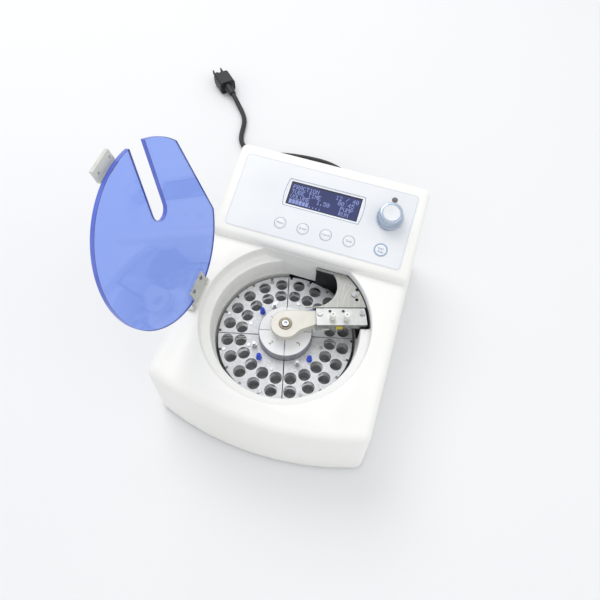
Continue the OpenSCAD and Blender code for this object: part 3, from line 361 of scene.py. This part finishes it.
def lathe(bm, profile, place, seg):
    """A closed turned form; the profile runs from axis to axis, in millimetres."""
    rings = []
    for r, z in profile:
        if r < 1e-6:
            rings.append([bm.verts.new(place @ mm(0, 0, z))])
        else:
            rings.append([bm.verts.new(place @ mm(r * math.cos(2 * math.pi * i / seg),
                                                  r * math.sin(2 * math.pi * i / seg), z))
                          for i in range(seg)])
    for a, b in zip(rings, rings[1:]):
        for i in range(seg):
            j = (i + 1) % seg
            if len(a) == 1 and len(b) == 1:
                continue
            if len(a) == 1:
                bm.faces.new((a[0], b[j], b[i]))
            elif len(b) == 1:
                bm.faces.new((a[i], a[j], b[0]))
            else:
                bm.faces.new((a[i], a[j], b[j], b[i]))


def turn(z):
    """A turn about the vertical, in degrees."""
    return Matrix.Rotation(math.radians(z), 4, "Z")


def shift(x, y, z):
    """A move in millimetres."""
    return Matrix.Translation(mm(x, y, z))


# ------------------------------------------------------------------ mains cord

CORD_R = 3.5
COIL = dict(x=-12.0, y=220.0, mid=36.0, turns=6, layers=4, pitch=7.6, step=7.5, exit=60.0)
LEAD = [(62, 212, 30), (62, 219, 29.4), (61, 231, 26.5), (57.5, 243, 20), (50, 253, 13.5),
        (39, 259, 8.5), (25, 261.4, 5), (12, 261.7, 3.6)]
TAIL = [(-4.5, 263.1, 26), (-14, 269, 25.2), (-27, 275, 22.5), (-41, 280.5, 18),
        (-55, 285, 13), (-70, 288.5, 8), (-86, 289.5, 4.6), (-102, 287, 3.6),
        (-117, 282.6, 3.5), (-131, 279.6, 3.5), (-145, 280.3, 3.5), (-157, 286.2, 3.5),
        (-165, 297, 3.5), (-169, 311, 3.5), (-171.5, 325, 3.5), (-175.5, 337.5, 3.5),
        (-182.5, 348.7, 3.8), (-191.5, 358.6, 5.6), (-200, 367.4, 8.6), (-206.5, 374.1, 10)]


def coil_line():
    """The coil's centre line, layer over layer, with a straight lead at each end."""
    per = COIL["turns"] / COIL["layers"]
    total = COIL["turns"] - (90 - COIL["exit"]) / 360
    steps = 240
    out = []
    for i in range(steps + 1):
        t = total * i / steps
        layer = math.floor(t / per)
        s = t - layer * per
        r = COIL["mid"] + COIL["pitch"] * (per / 2 - (s if layer % 2 == 0 else per - s))
        z = CORD_R
        for k in (1, 2, 3):
            c = min(1, max(0, (t - k * per + 0.25) / 0.5))
            z += COIL["step"] * c * c * (3 - 2 * c)
        a = math.radians(90 + 360 * t)
        out.append((COIL["x"] + r * math.cos(a), COIL["y"] + r * math.sin(a), z))
    start = (out[0][0] + 2 * CORD_R, out[0][1], out[0][2])
    ax = math.radians(COIL["exit"] + 90)
    end = (out[-1][0] + 2 * CORD_R * math.cos(ax), out[-1][1] + 2 * CORD_R * math.sin(ax),
           out[-1][2])
    return [start] + out + [end]


def spline(points, per=4):
    """Catmull-Rom points between the given ones."""
    p = [Vector(q) for q in points]
    p = [2 * p[0] - p[1]] + p + [2 * p[-1] - p[-2]]
    out = []
    for i in range(1, len(p) - 2):
        for k in range(per):
            t = k / per
            a, b, c, d = p[i - 1], p[i], p[i + 1], p[i + 2]
            out.append(0.5 * (2 * b + (c - a) * t + (2 * a - 5 * b + 4 * c - d) * t * t
                              + (3 * b - a - 3 * c + d) * t ** 3))
    out.append(p[-2])
    return out


def make_cord():
    """The whole mains lead as one smooth cord, and its length in millimetres."""
    coil = coil_line()
    line = spline(LEAD + [coil[0]]) + [Vector(q) for q in coil[1:-1]] + spline([coil[-1]] + TAIL)
    curve = bpy.data.curves.new("mains_lead", "CURVE")
    curve.dimensions = "3D"
    curve.bevel_depth = (CORD_R - 0.02) * MM
    curve.bevel_resolution = 4
    curve.use_fill_caps = True
    s = curve.splines.new("POLY")
    s.points.add(len(line) - 1)
    for point, q in zip(s.points, line):
        point.co = (q.x * MM, q.y * MM, q.z * MM, 1)
    s.use_smooth = True
    obj = bpy.data.objects.new("mains_lead", curve)
    scene.collection.objects.link(obj)
    curve.materials.append(M["cord"])
    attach(obj, "base")
    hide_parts("cord_lead", "cord_coil", "cord_tail")
    length = sum((b - a).length for a, b in zip(line, line[1:]))
    print("cord length", round(length, 1))
    return obj, length


lead, lead_mm = make_cord()
for name in ("mains_connector", "mains_plug"):
    paint(name, M["cord"])

# ------------------------------------------------------------------ dressed CAD pieces

LID_OPEN = 104.5
DRESS = [
    # node, material, body, edge width in mm
    ("housing", "shell", "base", 0), ("base_plate", "zinc", "base", 0),
    ("feet", "rubber", "base", 0.3), ("case_screws", "screw", "base", 0.2),
    ("well_liner", "liner", "base", 0.25), ("pocket_liner", "black", "base", 0.15),
    ("bridge_plate", "steel", "base", 0.18), ("hinge_posts", "cast", "base", 0.25),
    ("hinge_pin", "screw", "base", 0.1), ("central_post", "screw", "base", 0.15),
    ("panel_overlay", "overlay", "base", 0.12), ("rear_panel", "rear", "base", 0.1),
    ("mains_inlet", "dark", "base", 0.25), ("fan_frame", "dark", "base", 0.2),
    ("fan_rotor", "dark", "fan", 0.1), ("power_rocker", "dark", "rocker", 0.3),
    ("control_knob", "knob_side", "knob", 0.15),
    ("key_1", "key", "key_a", 0.1), ("key_2", "key", "key_b", 0.1),
    ("key_3", "key", "key_c", 0.1), ("key_4", "key", "key_d", 0.1),
    ("start_key", "key", "key_start", 0.1),
    ("carousel_platter", "satin", "carousel", 0.2),
    ("cassette_1", "cassette", "carousel", 0.22), ("cassette_2", "cassette", "carousel", 0.22),
    ("cassette_3", "cassette", "carousel", 0.22), ("cassette_4", "cassette", "carousel", 0.22),
    ("carousel_hub", "hub", "carousel", 0.25), ("hub_dial", "dial", "carousel", 0.12),
    ("cassette_fittings", "screw", "carousel", 0.2), ("blue_pegs", "peg", "carousel", 0.1),
    ("needle_arm", "arm", "arm", 0.5), ("arm_bush", "bronze", "arm", 0.15),
    ("needle_block", "block", "arm", 0.35), ("tube_nipples", "nipple", "arm", 0.2),
    ("needles", "screw", "arm", 0.05), ("block_screws", "screw", "arm", 0.2),
    ("lift_rod", "steel", "arm", 0.2),
    ("lid_plate", "lid", "lid", 0.6), ("lid_hinge_block", "cast", "lid", 0.35),
    ("lid_screws", "screw", "lid", 0.2), ("lid_handle", "cast", "lid", 0.3),
]
for name, look, body, width in DRESS:
    refine(name, M[look], body, width, HOUSING_EDGE_DEG if name == "housing" else EDGE_DEG)


def edge_lid():
    """Saturated cut edges with a dark line along both faces."""
    obj = bpy.data.objects["lid_plate_form"]
    mesh = obj.data
    mesh.materials.append(M["lid_rim"])
    mesh.materials.append(M["lid_line"])
    flat = Vector((-math.sin(math.radians(LID_OPEN)), 0, math.cos(math.radians(LID_OPEN))))
    for poly in mesh.polygons:
        if abs(poly.normal.dot(flat)) < 0.5:
            poly.material_index = 1
    obj.modifiers["edge"].material = 2


edge_lid()
PAINT = {
    "display_module": "dark", "display_window": "lcd", "status_lamp": "lamp",
    "knob_encoder": "dark", "heat_sink": "satin", "drive_motor": "dark", "drive_belt": "rubber",
    "control_board": "board", "power_supply": "zinc", "motor_pulley": "satin",
    "carousel_pulley": "satin", "spindle_bearing": "zinc", "lift_drive": "dark",
}
for name, look in PAINT.items():
    paint(name, M[look])

# ------------------------------------------------------------------ panel details

PANEL_TILT = 16
PANEL = shift(0, 127.9, 129.9) @ Matrix.Rotation(math.radians(PANEL_TILT), 4, "X")
FACE = 0.6  # height of the overlay's face over the panel's plane, in millimetres
KNOB_X, KEY_Y = 69.5, -35
GLYPHS = {
    "A": "01110 10001 10001 11111 10001 10001 10001",
    "B": "11110 10001 10001 11110 10001 10001 11110",
    "C": "01110 10001 10000 10000 10000 10001 01110",
    "E": "11111 10000 10000 11110 10000 10000 11111",
    "F": "11111 10000 10000 11110 10000 10000 10000",
    "I": "01110 00100 00100 00100 00100 00100 01110",
    "L": "10000 10000 10000 10000 10000 10000 11111",
    "M": "10001 11011 10101 10101 10001 10001 10001",
    "N": "10001 11001 10101 10011 10001 10001 10001",
    "O": "01110 10001 10001 10001 10001 10001 01110",
    "P": "11110 10001 10001 11110 10000 10000 10000",
    "R": "11110 10001 10001 11110 10100 10010 10001",
    "S": "01111 10000 10000 01110 00001 00001 11110",
    "T": "11111 00100 00100 00100 00100 00100 00100",
    "U": "10001 10001 10001 10001 10001 10001 01110",
    "V": "10001 10001 10001 10001 10001 01010 00100",
    "0": "01110 10001 10011 10101 11001 10001 01110",
    "1": "00100 01100 00100 00100 00100 00100 01110",
    "2": "01110 10001 00001 00010 00100 01000 11111",
    "3": "11110 00001 00001 01110 00001 00001 11110",
    "4": "00010 00110 01010 10010 11111 00010 00010",
    "5": "11111 10000 11110 00001 00001 10001 01110",
    "6": "01110 10000 11110 10001 10001 10001 01110",
    "7": "11111 00001 00010 00100 01000 01000 01000",
    "8": "01110 10001 10001 01110 10001 10001 01110",
    "9": "01110 10001 10001 01111 00001 00001 01110",
    ":": "00000 00100 00000 00000 00000 00100 00000",
    ".": "00000 00000 00000 00000 00000 01100 01100",
    "/": "00001 00010 00010 00100 01000 01000 10000",
    "#": "11111 11111 11111 11111 11111 11111 11111",
}
COLUMN, ROW, DOT_X, DOT_Y = 3.55, 5.35, 0.6, 0.66  # pitches of characters and dots
DOT_W, DOT_H, TEXT_LEFT, TEXT_TOP = 0.52, 0.58, -35.2, 8.9
SCREEN = ["FRACTION     12 / 40", "TUBE TIME     00:45", "VOLUME  1.50   PUMP",
          "######....     RUN"]


def rounded(w, h, r, n=6):
    """A rectangle with round corners."""
    out = []
    for cx, cy, a0 in ((1, 1, 0), (-1, 1, 90), (-1, -1, 180), (1, -1, 270)):
        for i in range(n + 1):
            a = math.radians(a0 + 90 * i / n)
            out.append((cx * (w / 2 - r) + r * math.cos(a), cy * (h / 2 - r) + r * math.sin(a)))
    return out


def bowed(w, h, bulge, n=8):
    """An outline with straight top and bottom and bowed sides."""
    out = []
    for side in (1, -1):
        for i in range(n + 1):
            t = -1 + 2 * i / n
            out.append((side * (w / 2 + bulge * (1 - t * t)), side * t * h / 2))
    return out


def circle(r, n, x, y):
    return [(x + r * math.cos(2 * math.pi * i / n), y + r * math.sin(2 * math.pi * i / n))
            for i in range(n)]


def make_display():
    """The display's dots, its border, and the mask and line printed round its window."""
    bm = bmesh.new()
    for row, text in enumerate(SCREEN):
        for col, char in enumerate(text):
            for j, bits in enumerate(GLYPHS.get(char, "").split()):
                for i, bit in enumerate(bits):
                    if bit == "1":
                        x = TEXT_LEFT + col * COLUMN + i * DOT_X
                        y = TEXT_TOP - row * ROW - j * DOT_Y
                        prism(bm, [(x, y), (x + DOT_W, y), (x + DOT_W, y + DOT_H),
                                   (x, y + DOT_H)], 0.01, 0.05, PANEL)
    from_bm("display_text", bm, M["dot"], "base")
    # black border that the lit field lies in, drawn thicker at the top and the left as painted
    # shadow of the window's frame
    bm = bmesh.new()
    outer = [(-38.2, -13), (38.2, -13), (38.2, 13), (-38.2, 13)]
    inner = [(-36.6, -12.1), (37.2, -12.1), (37.2, 11.3), (-36.6, 11.3)]
    band(bm, outer, inner, 0.005, 0.06, PANEL)
    from_bm("display_border_and_shadow", bm, M["lcd_edge_and_shadow"], "base")
    # pale mask printed round the window
    bm = bmesh.new()
    band(bm, rounded(79.9, 28.9, 0.9), rounded(76.2, 25.8, 0.05), 0.005, 0.12, PANEL)
    from_bm("display_mask", bm, M["mask"], "base")
    bm = bmesh.new()
    band(bm, bowed(80.8, 30.6, 2.0), bowed(80.0, 29.8, 2.0), FACE, FACE + 0.05, PANEL)
    from_bm("display_outline", bm, M["print_blue"], "base")


def words(name, text, size, place, mat, body, depth=0.03):
    """Generic words or digits as a thin mesh, centred on the place."""
    curve = bpy.data.curves.new(name, "FONT")
    curve.body = text
    curve.size = size * MM
    curve.align_x = "CENTER"
    curve.align_y = "CENTER"
    curve.extrude = depth * MM
    curve.resolution_u = 3
    temp = bpy.data.objects.new(name, curve)
    scene.collection.objects.link(temp)
    bpy.context.view_layer.update()
    mesh = bpy.data.meshes.new_from_object(temp)
    bpy.data.objects.remove(temp)
    mesh.transform(place)
    obj = link(name, mesh, mat, body)
    return obj


KEY_D = 12
KEYS = [(-36.45, "Menu", "key_a"), (-12.15, "Enter", "key_b"), (12.15, "Count", "key_c"),
        (36.45, "Stop", "key_d")]


def make_keys():
    """The ring and the word on each key."""
    for i, (x, text, body) in enumerate(KEYS):
        y = KEY_Y
        bm = bmesh.new()
        band(bm, circle(KEY_D / 2 - 0.5, 48, x, y), circle(KEY_D / 2 - 0.95, 48, x, y),
             1.08, 1.13, PANEL)
        from_bm("key_%d_ring" % (i + 1), bm, M["print_pale"], body)
        words("key_%d_word" % (i + 1), text, 3.4, PANEL @ shift(x, y, 1.1), M["print_grey"], body)
    x, y = KNOB_X, KEY_Y
    bm = bmesh.new()
    band(bm, circle(6.35, 64, x, y), circle(5.6, 64, x, y), 1.08, 1.14, PANEL)
    from_bm("start_key_ring", bm, M["ring_blue"], "key_start")
    words("start_key_word", "Start\nStop", 3.3, PANEL @ shift(x, y - 0.3, 1.1), M["print_blue"],
          "key_start")


def make_overlay_print():
    """The line round the overlay, the lamp's ring and the marks round the knob."""
    bm = bmesh.new()
    place = PANEL @ shift(0, -9.85, 0)
    band(bm, rounded(184.6, 80.7, 3.6), rounded(183.9, 80.0, 3.3), FACE, FACE + 0.05, place)
    from_bm("overlay_line", bm, M["print_pale"], "base")
    bm = bmesh.new()
    lamp_y = 20.2
    band(bm, circle(3.1, 40, KNOB_X, lamp_y), circle(1.9, 40, KNOB_X, lamp_y),
         FACE, FACE + 0.08, PANEL)
    from_bm("lamp_ring", bm, M["print_grey"], "base")
    bm = bmesh.new()
    r0, r1, half = 14.4, 15.2, 0.16
    for k in range(12):
        a = math.radians(30 * k)
        dx, dy = math.cos(a), math.sin(a)
        px, py = -dy * half, dx * half
        prism(bm, [(KNOB_X + r0 * dx - px, r0 * dy - py), (KNOB_X + r1 * dx - px, r1 * dy - py),
                   (KNOB_X + r1 * dx + px, r1 * dy + py), (KNOB_X + r0 * dx + px, r0 * dy + py)],
              FACE, FACE + 0.04, PANEL)
    from_bm("knob_marks", bm, M["print_pale"], "base")


def make_knob_top():
    """The turned cap on the knob."""
    place = PANEL @ shift(KNOB_X, 0, 0)
    bm = bmesh.new()
    z = 15.22
    lathe(bm, [(0, z - 0.02), (8.2, z - 0.02), (8.2, z + 0.1), (7.7, z + 0.06), (0, z + 0.03)],
          place, 72)
    from_bm("knob_cap", bm, M["knob_top"], "knob")


make_display()
make_keys()
make_overlay_print()
make_knob_top()

# ------------------------------------------------------------------ well and lid details

GAP_DEG, ARM_DEG = 14.95, 18  # the first gap between cassettes, and the arm
DIGIT_R, DIAL_TOP = 19.6, 75.63
COIL_MID = shift(-12, 220, 0)


def make_dial_digits():
    """The sectors' numbers, from the one left of the arm, read from outside."""
    for k, digit in enumerate("4123"):
        place = turn(GAP_DEG + 90 * k + 45) @ shift(DIGIT_R, 0, DIAL_TOP) @ turn(90)
        words("dial_digit_" + digit, digit, 6.4, place, M["digit"], "carousel",
              0.02)


def make_block_details():
    """The yellow sleeve and the two studs under the needle block's front edge."""
    arm = turn(ARM_DEG)
    bm = bmesh.new()
    lathe(bm, [(0, 0), (1.5, 0), (1.7, 0.2), (1.7, 6.8), (1.5, 7), (0, 7)],
          arm @ shift(49.5, -2.9, 89.6) @ Matrix.Rotation(math.radians(90), 4, "Y"), 24)
    from_bm("sleeve_yellow", bm, M["yellow"], "arm")
    bm = bmesh.new()
    for u in (60.0, 68.0):
        lathe(bm, [(0, 0), (1.3, 0), (1.3, 0.5), (1.0, 0.8), (0, 0.8)],
              arm @ shift(u, -2.8, 90.2) @ Matrix.Rotation(math.radians(90), 4, "X"), 20)
    from_bm("block_studs", bm, M["screw"], "arm")


def make_coil_tie():
    """A strap round the coil's winding, as the lead is put away."""
    bm = bmesh.new()
    place = COIL_MID @ turn(205) @ Matrix.Rotation(math.radians(90), 4, "X")
    lo, hi, z0, z1, half_w = 26.4, 45.6, 0.05, 29.9, 5.5
    outer, inner = ([(x + (lo + hi) / 2, z + (z0 + z1) / 2) for x, z in rounded(w, h, r, 8)]
                    for w, h, r in ((hi - lo, z1 - z0, 5.0),
                                    (hi - lo - 1.4, z1 - z0 - 1.4, 4.3)))
    band(bm, outer, inner, -half_w, half_w, place)
    return from_bm("coil_tie", bm, M["tie"], "base")


make_dial_digits()
make_block_details()
coil_tie = make_coil_tie()

# ------------------------------------------------------------------ stage

AIM = mm(0, 30, 80)  # what both lamps point at

def make_stage():
    """The pale floor, which keeps the part's shadow."""
    bm = bmesh.new()
    bmesh.ops.create_grid(bm, x_segments=1, y_segments=1, size=6)
    floor = from_bm("floor", bm, None, "base")
    floor.parent = None
    floor.matrix_world = Matrix()
    mat = shader("floor", (0.86, 0.862, 0.87), 0.9)
    floor.data.materials.append(mat)


def make_lights():
    """A plain lit world, seen as the backdrop's colour, with a key and a fill lamp."""
    world = bpy.data.worlds.new("world")
    scene.world = world
    world.use_nodes = True
    tree = world.node_tree
    tree.nodes.clear()
    out = tree.nodes.new("ShaderNodeOutputWorld")
    light, seen = (tree.nodes.new("ShaderNodeBackground") for _ in range(2))
    for shade, colour, strength in ((light, (0.97, 0.985, 1.0, 1), 0.78),
                                    (seen, (0.93, 0.94, 0.95, 1), 1.0)):
        shade.inputs["Color"].default_value = colour
        shade.inputs["Strength"].default_value = strength
    path = tree.nodes.new("ShaderNodeLightPath")
    either = path.outputs["Is Camera Ray"]
    for ray in ("Is Glossy Ray", "Is Transmission Ray"):
        most = tree.nodes.new("ShaderNodeMath")
        most.operation = "MAXIMUM"
        tree.links.new(either, most.inputs[0])
        tree.links.new(path.outputs[ray], most.inputs[1])
        either = most.outputs[0]
    mix = tree.nodes.new("ShaderNodeMixShader")
    tree.links.new(either, mix.inputs["Fac"])
    tree.links.new(light.outputs[0], mix.inputs[1])
    tree.links.new(seen.outputs[0], mix.inputs[2])
    tree.links.new(mix.outputs[0], out.inputs["Surface"])
    for name, at, size, power in (("key", (-0.9, 0.9, 1.9), 1.4, 17),
                                  ("fill", (1.5, -0.4, 1.6), 1.6, 6)):
        data = bpy.data.lights.new(name, "AREA")
        data.size = size
        data.energy = power
        lamp = bpy.data.objects.new(name, data)
        lamp.location = at
        lamp.rotation_euler = (AIM - Vector(at)).to_track_quat("-Z", "Y").to_euler()
        scene.collection.objects.link(lamp)


make_stage()
make_lights()
